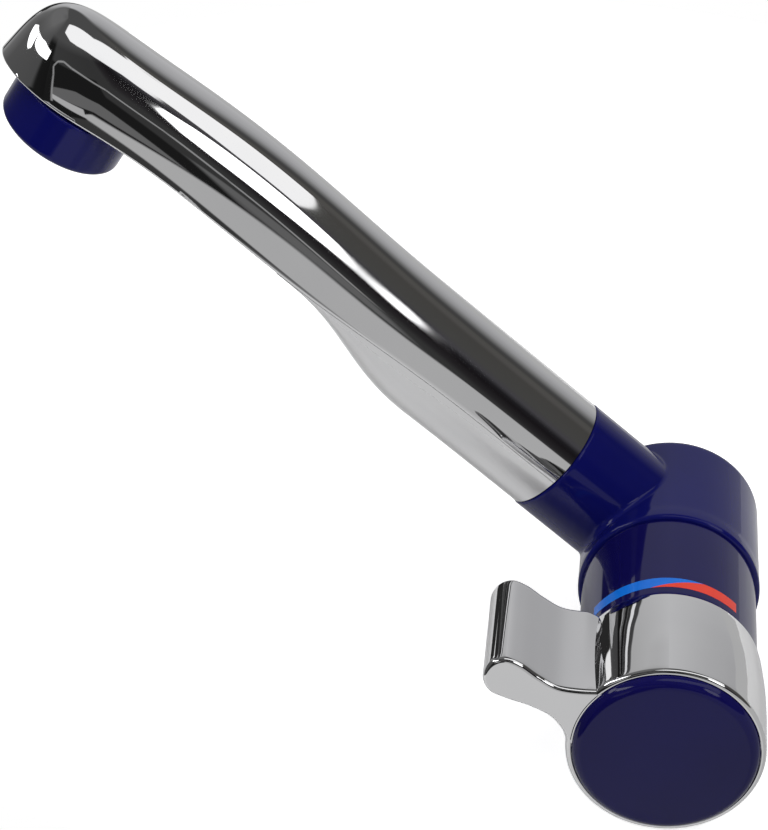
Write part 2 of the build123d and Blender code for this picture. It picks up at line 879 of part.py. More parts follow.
def waterway():
    """Water tube with its plug for the stub and its spigot for the outlet."""
    plug = rod(stub_bore - seat, plug_start, arm_start)
    for place in plug_seal_places:
        half = plug_cord + 0.2
        plug -= hoop(stub_bore - 2 * plug_cord - 0.1, stub_bore + 1, place - half, place + half)
    screw_half = spout_screw_radius + free_gap
    start = spout_screw_place - screw_half
    floor = stub_bore - spout_screw_bite - 0.35
    plug -= hoop(floor, stub_bore + 1, start, spout_screw_place + screw_half)
    plug += rod(stub_bore - 1, arm_start - 1, arm_start + 1)
    carrier_start = arm_start + 0.2
    carrier_end = carrier_start + carrier_length
    carrier = rod(spout_radius - shell_wall - 0.5, carrier_start, carrier_end)
    tube_end = outlet_reach + (waterway_level - lip_level(outlet_reach)) * tan(tilt)
    tube = rod(waterway_radius, carrier_end - 1, tube_end, 0, waterway_level)
    way = spout_place * (plug + carrier + tube)
    way += outlet_place * rod(spigot_radius, -block_height, 2.0)
    way += outlet_place * rod(outlet_neck_radius + 1, -5.2, -2.3)
    way -= outlet_place * rod(spigot_radius - spigot_wall, spigot_wall - block_height, 3.0)
    way -= spout_place * rod(waterway_bore, plug_start - 1, tube_end, 0, waterway_level)
    start = shell_screw_tip - 0.2
    hole = across(shell_screw_radius + seat, start, spout_radius, 270, shell_screw_place)
    return way - spout_place * hole


def plug_seals():
    centre = stub_bore - 0.02 - plug_cord
    return [cord_ring(centre, plug_cord, place) for place in plug_seal_places]


def outlet_housing():
    step = outlet_height - outlet_bore_depth
    housing = turned(
        (spigot_radius + seat, -2.25),
        (outlet_neck_radius, -2.25),
        (outlet_neck_radius, outlet_gap),
        (outlet_radius, outlet_gap),
        (outlet_radius, outlet_height),
        (outlet_bore, outlet_height),
        (outlet_bore, step),
        (spigot_radius + seat, step),
    )
    housing = rounded(housing, outlet_radius, outlet_height, outlet_round)
    housing = rounded(housing, outlet_radius, outlet_gap, outlet_back_round)
    return outlet_place * housing


def aerator_washer():
    step = outlet_height - outlet_bore_depth
    return outlet_place * hoop(spigot_radius + 0.6, outlet_bore - seat, step, step + washer_thick)


insert_start = outlet_height - outlet_bore_depth + washer_thick
insert_end = outlet_height - insert_sunk


def aerator_insert():
    """Cup with a grid of ribs, which the water leaves through."""
    cup = turned(
        (screen_radius + seat, insert_start),
        (outlet_bore - seat, insert_start),
        (outlet_bore - seat, insert_end),
        (insert_radius, insert_end),
        (insert_radius, insert_start + 2.2),
        (screen_radius + seat, insert_start + 2.2),
    )
    for radius in (2.6, 5.8):
        cup += hoop(radius - 0.4, radius + 0.4, insert_end - 2.2, insert_end - 0.2)
    for step in range(4):
        turn = Pos(0, 0, insert_end - 1.2) * Rotation(0, 0, 45 * step)
        cup += turn * Box(2 * insert_radius + 0.4, 0.8, 2)
    return outlet_place * cup


def aerator_screen():
    """Thin disc with three circles of small holes."""
    start = insert_start + 0.4
    disc = rod(screen_radius, start, start + screen_thick)
    for count, radius in ((6, 2.6), (12, 5.2), (18, 7.6)):
        for step in range(count):
            turn = Rotation(0, 0, 360 / count * step)
            disc -= turn * rod(screen_hole, start - 1, start + screen_thick + 1, radius, 0)
    return outlet_place * disc


def main():
    os.makedirs("parts", exist_ok=True)
    gasket_inner = gasket_outer - gasket_width
    gasket = hoop(gasket_inner + seat, gasket_outer - seat, 0, gasket_thick)
    in_body_frame = {
        "body_core": body_core(),
        "base_gasket": gasket,
        "fixing_stud": fixing_stud(),
        "clamp_plate": clamp_plate(),
        "clamp_nut": clamp_nut(),
        "cold_inlet_tail": inlet_tail(-tail_spacing / 2),
        "hot_inlet_tail": inlet_tail(tail_spacing / 2),
        "body_sleeve": body_sleeve(),
        "cold_mark": mark(cold_corners),
        "hot_mark": mark(hot_corners),
        "rear_slip_ring": slip_ring(collar_back + free_gap),
        "front_slip_ring": slip_ring(collar_front - free_gap - slip_ring_width),
        "rear_collar_seal": collar_seal(collar_seal_depths[0]),
        "front_collar_seal": collar_seal(collar_seal_depths[1]),
        "cartridge_shell": cartridge_shell(),
        "guide_bush": guide_bush(),
        "cartridge_nut": cartridge_nut(),
        "stop_ring": stop_ring(),
        "stop_ring_clip": stop_ring_clip(),
        "valve_spool": valve_spool(),
        "lever_ring": lever_ring(),
        "lever_hub": lever_hub(),
        "lever_screw": lever_screw(),
        "lever_cap": lever_cap(),
        "stop_screw": stop_screw(),
    }
    pieces = {name: body_place * piece for name, piece in in_body_frame.items()}
    pieces["tail_seals"] = grouped(body_place, tail_seals())
    pieces["shell_seals"] = grouped(body_place, shell_seals())
    pieces["port_seals"] = grouped(body_place, port_seals())
    pieces["spool_seals"] = grouped(body_place, spool_seals())
    pieces["plug_seals"] = grouped(spout_place, plug_seals())
    pieces["spout_collar"] = spout_collar()
    pieces["spout_screw"] = spout_place * spout_screw()
    pieces["spout_shell"] = spout_shell()
    pieces["spout_underside"] = spout_underside()
    pieces["shell_screw"] = shell_screw()
    pieces["waterway"] = waterway()
    pieces["outlet_housing"] = outlet_housing()
    pieces["aerator_washer"] = aerator_washer()
    pieces["aerator_insert"] = aerator_insert()
    pieces["aerator_screen"] = aerator_screen()
    for name, piece in pieces.items():
        export_step(piece, f"parts/{name}.step")


main()
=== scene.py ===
import json
import math

import bmesh
import bpy
import numpy as np
from mathutils import Matrix, Vector


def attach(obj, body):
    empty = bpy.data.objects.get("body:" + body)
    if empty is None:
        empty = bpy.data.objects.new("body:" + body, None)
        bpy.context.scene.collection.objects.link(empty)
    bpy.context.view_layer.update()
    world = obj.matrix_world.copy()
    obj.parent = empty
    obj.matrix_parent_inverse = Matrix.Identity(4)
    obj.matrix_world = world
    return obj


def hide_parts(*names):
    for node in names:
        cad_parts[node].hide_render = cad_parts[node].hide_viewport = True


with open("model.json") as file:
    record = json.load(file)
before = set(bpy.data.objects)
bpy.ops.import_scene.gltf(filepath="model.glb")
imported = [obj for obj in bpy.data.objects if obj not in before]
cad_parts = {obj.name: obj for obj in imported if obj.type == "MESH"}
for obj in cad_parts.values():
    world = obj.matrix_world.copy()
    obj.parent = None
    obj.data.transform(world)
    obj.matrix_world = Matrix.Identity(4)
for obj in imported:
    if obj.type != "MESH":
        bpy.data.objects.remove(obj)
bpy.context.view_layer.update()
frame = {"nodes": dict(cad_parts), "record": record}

scene = bpy.context.scene
MM = 0.001

# Sizes of the visible surfaces, in millimetres, as the CAD has them. Depths are measured out
# from the wall, and places along the spout from the body's axis
STUB_DEPTH = 19.75  # depth of the axis of stub and spout
SWING = math.radians(48.5)  # the spout's lean from upright, to the left
UP_SIDE = np.array([math.cos(SWING), 0.0, math.sin(SWING)])
ALONG = np.array([-math.sin(SWING), 0.0, math.cos(SWING)])
TOWARD = np.array([0.0, -1.0, 0.0])
SPOUT_HALF = 15.8  # half the spout's width
ARM_START = 41.0  # place where the chrome begins
HEAD_START = 189.0  # place where the nose begins
NOSE = 23.8  # length of the nose
WALL = 1.5  # wall of the upper shell
TILT = math.radians(9.4)  # the head's bend
BEND_START, BEND_LENGTH = 163.0, 20.0
BELLY_END = 130.0  # place where the belly under the arm ends
LIP_DROP = 1.9  # how far the lip lies below the spout's axis past the belly
OUTLET_REACH = 190.9
OUTLET_LEVEL = -LIP_DROP - math.tan(TILT) * (OUTLET_REACH - BEND_START - BEND_LENGTH / 2)
BORE = 19.0  # inner radius of collar and sleeve
COLLAR = (3.6, 40.6)  # back and front depth, as for the next two
SLEEVE = (40.9, 73.0)
RING = (73.5, 106.3)
COLLAR_RADIUS, LIP_SWELL = 22.9, 0.1
SLEEVE_RADIUS = 21.95
CAP_RADIUS = 22.2
ROUND_STEPS = 240  # steps of the surfaces turned about the axes of body and stub


def in_body(x, up, depth):
    """Point of the body's frame: sideways, up, and out from the wall."""
    return (x * MM, -depth * MM, up * MM)


def in_spout(side, rise, place):
    """Point of the spout's frame: towards the viewer, up from its axis, along it."""
    p = UP_SIDE * rise + ALONG * place + TOWARD * (side + STUB_DEPTH)
    return tuple(p * MM)


def ease(value, start, end):
    """Smooth step from 0 at start to 1 at end."""
    share = np.clip((value - start) / (end - start), 0.0, 1.0)
    return share * share * (3 - 2 * share)


# Mesh helpers


def build(name, points, faces, smooth_angle=40.0):
    """Object from points and faces, with smooth shading below an angle."""
    mesh = bpy.data.meshes.new(name)
    bm = bmesh.new()
    verts = [bm.verts.new(p) for p in points]
    for face in faces:
        if len(set(face)) > 2:
            bm.faces.new([verts[i] for i in face])
    bmesh.ops.remove_doubles(bm, verts=bm.verts, dist=1e-6)
    bmesh.ops.recalc_face_normals(bm, faces=bm.faces)
    for face in bm.faces:
        face.smooth = True
    limit = math.radians(smooth_angle)
    for edge in bm.edges:
        if len(edge.link_faces) == 2 and edge.calc_face_angle(0.0) > limit:
            edge.smooth = False
    bm.to_mesh(mesh)
    bm.free()
    thing = bpy.data.objects.new(name, mesh)
    scene.collection.objects.link(thing)
    return thing


def skin(rows, close_rows=True, cap_start=True, cap_end=True):
    """Points and faces of a surface through rows of equally many points."""
    points = [p for row in rows for p in row]
    size = len(rows[0])
    faces = []
    for r in range(len(rows) - 1):
        for c in range(size if close_rows else size - 1):
            n = (c + 1) % size
            faces.append((r * size + c, r * size + n, (r + 1) * size + n, (r + 1) * size + c))
    if cap_start:
        faces.append(tuple(range(size)))
    if cap_end:
        start = (len(rows) - 1) * size
        faces.append(tuple(range(start, start + size)))
    return points, faces


def join_parts(*parts):
    """One list of points and faces from several."""
    points, faces = [], []
    for some_points, some_faces in parts:
        base = len(points)
        points += some_points
        faces += [tuple(i + base for i in face) for face in some_faces]
    return points, faces


def arc(centre, radius, start, end, count):
    """Points of a circular arc in a plane, angles in degrees."""
    angles = np.radians(np.linspace(start, end, count))
    return [(centre[0] + radius * math.cos(a), centre[1] + radius * math.sin(a)) for a in angles]


def turned(outline, place, steps=180):
    """Closed surface of revolution of (radius, height) points, put in place by a function."""
    rows = []
    for step in range(steps):
        angle = 2 * math.pi * step / steps
        rows.append([place(r * math.cos(angle), r * math.sin(angle), h) for r, h in outline])
    size = len(outline)
    points = [p for row in rows for p in row]
    faces = []
    for r in range(steps):
        nr = (r + 1) % steps
        for c in range(size):
            n = (c + 1) % size
            faces.append((r * size + c, r * size + n, nr * size + n, nr * size + c))
    return points, faces


# Spout profile curves, smoothed so that reflections run without kinks

PLACES = np.arange(0.0, 260.0, 0.5)


def smoothed(values, width):
    """Values at PLACES, averaged with a bell curve of a width in millimetres."""
    reach = np.arange(-3 * width, 3 * width + 0.5, 0.5)
    weight = np.exp(-0.5 * (reach / width) ** 2)
    padded = np.pad(values, len(reach) // 2, mode="edge")
    return np.convolve(padded, weight / weight.sum(), mode="valid")


BENT = np.clip(PLACES - BEND_START, 0.0, BEND_LENGTH)
PAST_BEND = np.clip(PLACES - BEND_START - BEND_LENGTH, 0.0, None)
LIP = 1.0 - (1.0 + LIP_DROP) * ease(PLACES, 70, 130)
LIP = smoothed(LIP - math.tan(TILT) * (BENT**2 / (2 * BEND_LENGTH) + PAST_BEND), 8.0)
CROWN = smoothed(SPOUT_HALF + 1.5 * ease(PLACES, 97, 138) - 3.72 * ease(PLACES, 150, 202), 11.0)
BELLY = smoothed(16.8 - 16.3 * ease(PLACES, 80, BELLY_END + 3), 4.0)


def lip_level(place):
    """Height of the upper shell's lower edge above the spout's axis."""
    return float(np.interp(place, PLACES, LIP))


def shell_section(place, nose, inset, count):
    """Upper half oval at a place, from the near lip over the crown to the far lip."""
    half = (SPOUT_HALF - inset) * math.cos(nose)
    full = float(np.interp(place, PLACES, CROWN)) - inset - lip_level(place)
    over = full * (1 - math.sin(nose) ** 4) ** 0.25
    angles = np.linspace(0.0, math.pi, count)
    return [(half * math.cos(a), lip_level(place) + over * math.sin(a)) for a in angles]


def spout_stations():
    """(place, nose angle) pairs: even along the arm, closer towards the tip."""
    arm = [(p, 0.0) for p in np.arange(ARM_START, HEAD_START, 1.25)]
    nose = [(HEAD_START + NOSE * math.sin(a), a) for a in np.radians(np.linspace(0, 89.7, 60))]
    return arm + nose


def spout_upper():
    """Upper chrome shell with its nose; its lip is rounded more towards the head."""
    rows = []
    for place, nose in spout_stations():
        outer = shell_section(place, nose, 0.0, 97)
        inner_place = min(place, HEAD_START + (NOSE - WALL) * math.sin(nose))
        inner = shell_section(inner_place, nose, WALL, 33)
        edge = 0.12 + 0.5 * float(ease(place, 120, 165))
        base = lip_level(place) + edge
        outer = [(x, max(y, base)) for x, y in outer]
        near = outer[0][0] - edge
        rounding = [
            (near + edge * math.cos(a), base - edge * math.sin(a)) for a in (1.57, 1.05, 0.52)
        ]
        row = [in_spout(x, y, place) for x, y in rounding]
        row += [in_spout(x, y, place) for x, y in outer]
        row += [in_spout(-x, y, place) for x, y in reversed(rounding)]
        row += [in_spout(x, y, inner_place) for x, y in reversed(inner)]
        rows.append(row)
    points, faces = skin(rows)
    return build("spout_upper", points, faces, 50)


def spout_lower():
    """Lower chrome shell: a belly under the arm, then a flat plate that closes the head."""
    rows = []
    half = SPOUT_HALF - 0.05
    for place in np.arange(ARM_START, BELLY_END + 0.1, 1.25):
        depth = float(np.interp(place, PLACES, BELLY))
        top = lip_level(place) - 0.06
        angles = np.linspace(0.0, math.pi, 97)
        low = [(half * math.cos(a), top - depth * math.sin(a)) for a in angles]
        roof = [(x, top) for x in np.linspace(-half + 0.4, half - 0.4, 9)]
        rows.append([in_spout(x, y, place) for x, y in low + roof])
    belly = skin(rows)
    rows = []
    for place in np.arange(BELLY_END - 6, HEAD_START + NOSE - 2.4, 1.0):
        share = max(place - HEAD_START, 0.0) / (NOSE - 1.8)
        half = (SPOUT_HALF - 1.8) * math.sqrt(max(1 - share**2, 0.001))
        low = lip_level(place) + 0.5
        ring = [(half, low + 1.4), (half, low + 0.3), (half - 0.3, low)]
        ring += [(x, low) for x in np.linspace(half - 0.6, -half + 0.6, 15)]
        ring += [(-half + 0.3, low), (-half, low + 0.3), (-half, low + 1.4)]
        rows.append([in_spout(x, y, place) for x, y in ring])
    points, faces = join_parts(belly, skin(rows))
    return build("spout_lower", points, faces, 50)


# Blue collar with its stub


def collar_radius(depth):
    """Outer radius of the collar, which swells a little at its front lip."""
    return COLLAR_RADIUS + LIP_SWELL * float(ease(depth, 35.1, 38.1))


def stub_row(angle):
    """Points of the stub at one angle: from its end, down its side and over its fillet."""
    radius, socket, reach, rounding = 16.0, 12.3, 40.7, 0.6
    side, rise = math.cos(angle), math.sin(angle)
    # The fillet fades where the stub runs over the collar's rounded back edge
    ball = 1.6 * (0.08 + 0.92 * float(ease(side, -0.85, -0.55)))
    body = collar_radius(STUB_DEPTH + side * radius)
    centre_side, centre_rise = (radius + ball) * side, (radius + ball) * rise
    centre_place = math.sqrt((body + ball) ** 2 - centre_rise**2)
    row = [in_spout(0, 0, reach), in_spout(socket * side, socket * rise, reach)]
    for a in np.radians(np.linspace(90, 0, 8)):
        r = radius - rounding + rounding * math.cos(a)
        row.append(in_spout(r * side, r * rise, reach - rounding + rounding * math.sin(a)))
    for p in np.linspace(reach - rounding, centre_place, 26)[1:]:
        row.append(in_spout(radius * side, radius * rise, p))
    # The fillet is an arc about its ball's centre, from the stub's side to the collar
    centre = np.array([centre_side, centre_rise, centre_place])
    start = np.array([radius * side, radius * rise, centre_place])
    foot = centre * np.array([1.0, body / (body + ball), body / (body + ball)])
    v0, v1 = (start - centre) / ball, (foot - centre) / ball
    total = math.acos(max(-1.0, min(1.0, float(v0 @ v1))))
    for share in np.linspace(0, 1, 13)[1:]:
        way = v0
        if total > 1e-4:
            way = math.sin((1 - share) * total) * v0 + math.sin(share * total) * v1
            way = way / math.sin(total)
        row.append(in_spout(*(centre + ball * way)))
    row.append(in_spout(*(foot * np.array([1.0, 0.96, 0.96]))))
    row.append(in_spout(0, 0, 18.0))
    return row


def collar_and_stub():
    """Swivelling collar, rounded at its back, with the stub that carries the spout."""
    back, front = COLLAR
    back_round, front_round, chamfer = 3.0, 1.0, 0.4
    rim = COLLAR_RADIUS + LIP_SWELL
    outline = [(BORE, back + chamfer)] + arc((BORE + chamfer, back + chamfer), chamfer, 180, 270, 4)
    outline += arc((COLLAR_RADIUS - back_round, back + back_round), back_round, -90, 0, 14)
    outline += [(collar_radius(d), d) for d in np.arange(back + 4.0, front - 1.2, 0.7)]
    outline += arc((rim - front_round, front - front_round), front_round, 0, 90, 10)
    outline += arc((BORE + chamfer, front - chamfer), chamfer, 90, 180, 4)
    ring = turned(outline, in_body, ROUND_STEPS)
    rows = [stub_row(2 * math.pi * step / ROUND_STEPS) for step in range(ROUND_STEPS)]
    stub = skin(rows + rows[:1], close_rows=False, cap_start=False, cap_end=False)
    points, faces = join_parts(ring, stub)
    return build("collar_with_stub", points, faces, 50)


# Lever ring with its lug


def through(points, count):
    """Smooth curve through points, by centripetal Catmull-Rom spans."""
    pts = [np.array(p, float) for p in points]
    pts = [2 * pts[0] - pts[1]] + pts + [2 * pts[-1] - pts[-2]]
    out = []
    for i in range(1, len(pts) - 2):
        p0, p1, p2, p3 = pts[i - 1 : i + 3]
        t0 = 0.0
        t1 = t0 + np.linalg.norm(p1 - p0) ** 0.5
        t2 = t1 + np.linalg.norm(p2 - p1) ** 0.5
        t3 = t2 + np.linalg.norm(p3 - p2) ** 0.5
        for t in np.linspace(t1, t2, count, endpoint=False):
            a1 = (t1 - t) / (t1 - t0) * p0 + (t - t0) / (t1 - t0) * p1
            a2 = (t2 - t) / (t2 - t1) * p1 + (t - t1) / (t2 - t1) * p2
            a3 = (t3 - t) / (t3 - t2) * p2 + (t - t2) / (t3 - t2) * p3
            b1 = (t2 - t) / (t2 - t0) * a1 + (t - t0) / (t2 - t0) * a2
            b2 = (t3 - t) / (t3 - t1) * a2 + (t - t1) / (t3 - t1) * a3
            out.append((t2 - t) / (t2 - t1) * b1 + (t - t1) / (t2 - t1) * b2)
    out.append(pts[-2])
    return np.array(out)


# Outline of the lug as (sideways, up), from its top at the ring round its tip and back
LUG = [
    (-10.0, 16.6), (-15.1, 16.6), (-20.8, 16.5), (-26.0, 17.3), (-30.4, 20.0), (-34.7, 23.3),
    (-38.2, 24.6), (-41.4, 23.2), (-43.35, 19.0), (-41.9, 15.0), (-38.2, 13.0), (-32.1, 10.9),
    (-27.3, 8.2), (-24.7, 5.0), (-22.6, 0.5), (-18.0, -1.0),
]

# Curve of the ring's outer radius over its depth, from back (0) to front (1)
RING_RADII = [(0.0, 22.7), (0.2, 23.32), (0.4, 23.7), (0.6, 23.78), (0.8, 23.7), (1.0, 23.6)]
RING_KNOTS = through(RING_RADII, 20)
RING_CURVE = np.interp(np.linspace(0, 1, 101), RING_KNOTS[:, 0], RING_KNOTS[:, 1])


def ring_outer(depth):
    """Outer radius of the lever ring, which is slightly barrel-shaped."""
    share = (depth - RING[0]) / (RING[1] - RING[0])
    return float(np.interp(share, np.linspace(0, 1, 101), RING_CURVE))


def lug():
    """Points and faces of the thumb lug, with rounded edges at its back and front."""
    back, front = RING
    edge = 1.1
    loop = np.vstack([through(LUG, 12), [(-17.0, 4.0), (-15.0, 10.0)]])
    way = np.roll(loop, -1, axis=0) - np.roll(loop, 1, axis=0)
    way /= np.linalg.norm(way, axis=1)[:, None]
    inward = np.stack([-way[:, 1], way[:, 0]], axis=1)
    if np.mean(np.sum((loop.mean(axis=0) - loop) * inward, axis=1)) < 0:
        inward = -inward

    def row(shift, depth):
        """The outline at a depth; its top dips where it runs into the ring."""
        dip = 2.2 * (front - depth) / (front - back)
        return [
            in_body(x, up - dip * float(ease(x, -20.5, -15.0)) * (up > 8), depth)
            for x, up in loop + inward * shift
        ]

    angles = np.radians(np.linspace(0, 90, 9))
    turns = [(edge * (1 - math.sin(a)), edge * (1 - math.cos(a))) for a in angles]
    rows = [row(shift, back + inset) for shift, inset in turns]
    rows += [row(0.0, depth) for depth in np.linspace(back + edge, front - edge, 24)[1:-1]]
    rows += [row(shift, front - inset) for shift, inset in reversed(turns)]
    return skin(rows)


def lever_ring():
    """Chrome lever ring with its lug."""
    back, front = RING
    bore, seat, back_round, front_round = 21.0, 22.35, 0.9, 1.0
    outline = [(bore, back + 0.3), (bore + 0.3, back)]
    outline += arc((ring_outer(back) - back_round, back + back_round), back_round, -90, 0, 8)
    outline += [(ring_outer(d), d) for d in np.arange(back + 1.5, front - 1.2, 0.8)]
    outline += arc((ring_outer(front) - front_round, front - front_round), front_round, 0, 90, 12)
    outline += arc((seat + 0.05, front - 0.05), 0.05, 90, 180, 4)
    outline += [(seat, front - 3.0), (bore, front - 3.0)]
    points, faces = join_parts(turned(outline, in_body, ROUND_STEPS), lug())
    return build("lever_ring_chrome", points, faces, 45)


def lever_cap():
    """Slightly domed end cap with a rounded rim."""
    back, top = RING[1] - 2.6, RING[1] + 2.8
    rounding, rise = 2.6, 0.9
    dome = []
    for share in np.linspace(0.0, 1.0, 60):
        radius = CAP_RADIUS * math.sin(share * math.pi / 2)
        over = min(max(radius - (CAP_RADIUS - rounding), 0.0), rounding)
        drop = rise * (radius / CAP_RADIUS) ** 2 + rounding - math.sqrt(rounding**2 - over**2)
        dome.append((radius, top - drop))
    outline = [(0.0, back), (CAP_RADIUS - 0.3, back), (CAP_RADIUS, back + 0.3)] + dome[::-1]
    points, faces = turned(outline, in_body, ROUND_STEPS)
    return build("lever_cap_blue", points, faces, 50)


def sleeve():
    """Plain sleeve between collar and lever ring."""
    back, front = SLEEVE
    rim, neck = SLEEVE_RADIUS, 20.6
    outline = [(BORE, back + 0.2), (rim - 0.4, back)] + arc((rim - 0.4, back + 0.4), 0.4, -90, 0, 5)
    outline += [(rim, d) for d in np.linspace(back + 1, front - 1, 12)]
    outline += arc((rim - 0.45, front - 0.45), 0.45, 0, 90, 6)
    outline += [(neck, front), (neck, front + 1.4), (BORE, front + 1.4)]
    points, faces = turned(outline, in_body, ROUND_STEPS)
    return build("sleeve_blue", points, faces, 50)


# Blue outlet

OUT_DOWN = -UP_SIDE * math.cos(TILT) - ALONG * math.sin(TILT)
OUT_FRONT = np.cross(OUT_DOWN, TOWARD)
OUT_ORIGIN = UP_SIDE * OUTLET_LEVEL + ALONG * OUTLET_REACH + TOWARD * STUB_DEPTH


def in_outlet(x, y, down):
    """Point of the outlet's frame: towards the viewer, across, and down its axis."""
    return tuple((OUT_ORIGIN + TOWARD * x + OUT_FRONT * y + OUT_DOWN * down) * MM)


def outlet():
    """Short blue cylinder under the head, open at the bottom round its aerator."""
    rim, bore, seat, low = 15.8, 11.5, 12.2, 12.5
    outline = [(bore, -1.5), (bore, 0.6)]
    outline += arc((rim - 0.5, 1.1), 0.5, -90, 0, 6)
    outline += [(rim, d) for d in np.linspace(1.5, low - 2.0, 10)]
    outline += arc((rim - 1.6, low - 1.6), 1.6, 0, 90, 12)
    outline += arc((seat + 0.4, low - 0.4), 0.4, 90, 180, 5)
    outline += [(seat, low - 3.0), (bore, low - 3.0)]
    points, faces = turned(outline, in_outlet, 200)
    return build("outlet_blue", points, faces, 50)


# Materials, all from procedural nodes


def material(name):
    """New node material, with its Principled shader."""
    made = bpy.data.materials.new(name)
    made.use_nodes = True
    nodes = made.node_tree.nodes
    nodes.clear()
    out = nodes.new("ShaderNodeOutputMaterial")
    shader = nodes.new("ShaderNodeBsdfPrincipled")
    made.node_tree.links.new(shader.outputs["BSDF"], out.inputs["Surface"])
    return made, shader


def add(mat, kind, **values):
    """New node, with inputs or settings of its own."""
    node = mat.node_tree.nodes.new(kind)
    for key, value in values.items():
        if key in node.inputs:
            node.inputs[key].default_value = value
        else:
            setattr(node, key, value)
    return node


def link(mat, out, into):
    mat.node_tree.links.new(out, into)


def noise(mat, scale, detail=3.0, stretch=(1, 1, 1)):
    """Noise in object space, in cells of about 1/scale metres."""
    coords = add(mat, "ShaderNodeTexCoord")
    mapping = add(mat, "ShaderNodeMapping")
    mapping.inputs["Scale"].default_value = stretch
    tex = add(mat, "ShaderNodeTexNoise", Scale=scale, Detail=detail)
    link(mat, coords.outputs["Object"], mapping.inputs["Vector"])
    link(mat, mapping.outputs["Vector"], tex.inputs["Vector"])
    return tex


def ramp(mat, source, low, high):
    """Share of 0 to 1 spread over a range."""
    node = add(mat, "ShaderNodeMapRange", **{"To Min": low, "To Max": high})
    link(mat, source, node.inputs["Value"])
    return node.outputs["Result"]


def two_colours(mat, source, one, two):
    """Blend of two colours by a noise."""
    node = add(mat, "ShaderNodeValToRGB")
    for element, position, colour in zip(node.color_ramp.elements, (0.35, 0.65), (one, two)):
        element.position = position
        element.color = (*colour, 1)
    link(mat, source, node.inputs["Fac"])
    return node.outputs["Color"]


def bump(mat, shader, source, strength, distance):
    node = add(mat, "ShaderNodeBump", Strength=strength, Distance=distance)
    link(mat, source, node.inputs["Height"])
    link(mat, node.outputs["Normal"], shader.inputs["Normal"])


def finish(name, one, two, metallic=0.0, rough=(0.1, 0.2), scale=60.0, stretch=(1, 1, 1),
           bump_scale=900.0, bump_depth=0.00001, ior=1.5):
    """A finish whose colour and roughness vary a little and whose surface is faintly uneven."""
    mat, shader = material(name)
    broad = noise(mat, scale, 4.0, stretch)
    fine = noise(mat, bump_scale, 2.0, stretch)
    link(mat, two_colours(mat, broad.outputs["Fac"], one, two), shader.inputs["Base Color"])
    link(mat, ramp(mat, broad.outputs["Fac"], rough[0], rough[1]), shader.inputs["Roughness"])
    bump(mat, shader, fine.outputs["Fac"], 0.2, bump_depth)
    shader.inputs["Metallic"].default_value = metallic
    shader.inputs["IOR"].default_value = ior
    return mat


chrome = finish("chrome_plate", (0.71, 0.71, 0.72), (0.74, 0.74, 0.745), 1.0, (0.02, 0.05), 25.0,
                bump_scale=120.0, bump_depth=0.000004)
blue = finish("blue_gloss", (0.004, 0.005, 0.09), (0.005, 0.006, 0.106), 0.0, (0.05, 0.085), 30.0,
              bump_scale=700.0, bump_depth=0.000004, ior=1.33)
# Darker copy of the blue plastic: painted shade for the lever cap and the sleeve
shaded_blue = finish("blue_gloss_painted_shade", (0.005, 0.004, 0.066), (0.006, 0.005, 0.078), 0.0,
                   (0.05, 0.085), 30.0, bump_scale=700.0, bump_depth=0.000004, ior=1.33)
cold = finish("cold_blue_print", (0.002, 0.155, 0.7), (0.003, 0.175, 0.75), 0.0,
              (0.2, 0.3), 80.0, ior=1.36)
hot = finish("hot_red_print", (0.8, 0.045, 0.022), (0.85, 0.055, 0.028), 0.0,
             (0.2, 0.3), 80.0, ior=1.36)
brass = finish("brass_turned", (0.62, 0.44, 0.18), (0.7, 0.52, 0.24), 1.0,
               (0.22, 0.36), 80.0, (1, 12, 1))
steel = finish("steel_zinc", (0.5, 0.5, 0.52), (0.6, 0.6, 0.61), 1.0, (0.25, 0.4), 90.0)
rubber = finish("rubber_black", (0.012, 0.012, 0.013), (0.02, 0.02, 0.021), 0.0,
                (0.6, 0.75), 120.0)
white_plastic = finish("white_acetal", (0.74, 0.74, 0.72), (0.8, 0.8, 0.78), 0.0,
                       (0.35, 0.45), 90.0)
grey_plastic = finish("grey_nylon", (0.3, 0.31, 0.33), (0.36, 0.37, 0.39), 0.0,
                      (0.4, 0.5), 90.0)

LOOK = {
    "chrome": chrome, "blue_plastic": blue, "cold_blue": cold, "hot_red": hot, "brass": brass,
    "steel": steel, "rubber": rubber, "white_plastic": white_plastic, "grey_plastic": grey_plastic,
}
slots = {entry["node"]: entry["material_slot"] for entry in frame["record"]["subparts"]}
for node, thing in frame["nodes"].items():
    thing.data.materials.clear()
    thing.data.materials.append(LOOK[slots[node]])


def place(thing, body, slot, *nodes, look=None):
    """Give a piece its finish, and say what it rides on and replaces."""
    thing.data.materials.append(look or LOOK[slot])
    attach(thing, body)
    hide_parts(*nodes)


place(spout_upper(), "spout", "chrome", "spout_shell")
place(spout_lower(), "spout", "chrome", "spout_underside")
place(collar_and_stub(), "spout", "blue_plastic", "spout_collar")
place(outlet(), "spout", "blue_plastic", "outlet_housing")
place(lever_ring(), "lever", "chrome", "lever_ring")
# The lever cap and the sleeve take the darker copy of the blue, which is painted shade
place(lever_cap(), "lever", "blue_plastic", "lever_cap", look=shaded_blue)
place(sleeve(), "base", "blue_plastic", "body_sleeve", look=shaded_blue)

# Camera, solved from the circles of collar, ring, cap and outlet. Its numbers are in the
# photograph's own pixels: focal length, principal point and picture size

